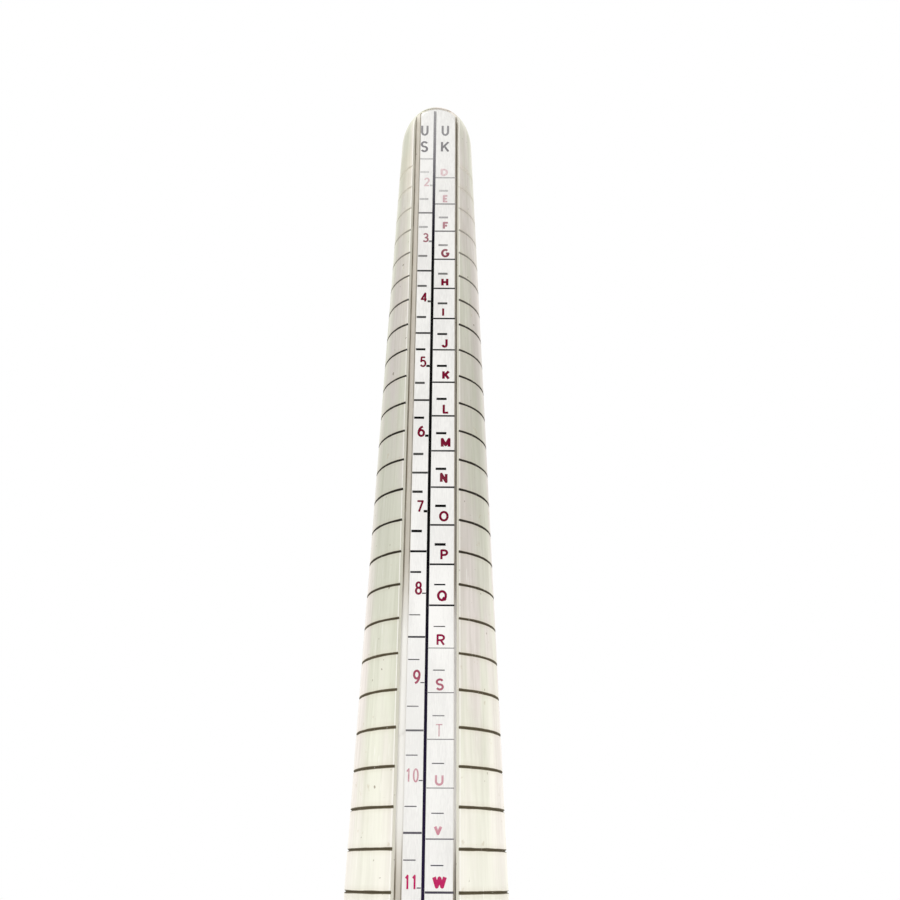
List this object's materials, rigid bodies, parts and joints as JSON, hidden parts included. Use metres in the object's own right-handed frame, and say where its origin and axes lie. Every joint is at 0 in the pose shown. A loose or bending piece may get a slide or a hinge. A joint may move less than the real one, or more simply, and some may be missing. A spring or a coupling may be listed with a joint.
{
  "type": "ring mandrel",
  "caption": "Tapered aluminium ring gauge stick with engraved circumference lines, two inlaid size scales, domed tip and turned wooden handle.",
  "frame": {"origin": "centre of the flat butt face of the handle, on the surface the tool stands on", "axes": "+Z along the axis from the butt to the domed tip; -Y is the face with the US and UK scale, +X to its right"},
  "size_m": [0.031, 0.031, 0.278],
  "materials": {
    "barrel_aluminium": "satin, brushed lengthwise",
    "strip_aluminium": "satin, bright",
    "mark_black": "printed ink",
    "mark_red": "printed ink",
    "bonding_tape": "matt",
    "collar_aluminium": "satin, turned",
    "ferrule_brass": "satin, polished by use",
    "grip_beech": "oiled",
    "stud_steel": "zinc bright"
  },
  "bodies": {
    "root": {"barrel": "barrel_aluminium", "us_uk_strip": "strip_aluminium", "eu_jp_strip": "strip_aluminium", "us_uk_strip_tape": "bonding_tape", "eu_jp_strip_tape": "bonding_tape", "collar": "collar_aluminium", "tang_stud": "stud_steel", "ferrule": "ferrule_brass", "ferrule_brads": "ferrule_brass", "grip": "grip_beech", "butt_washer": "stud_steel", "butt_nut": "stud_steel", "butt_cap": "collar_aluminium"}
  },
  "joints": []
}
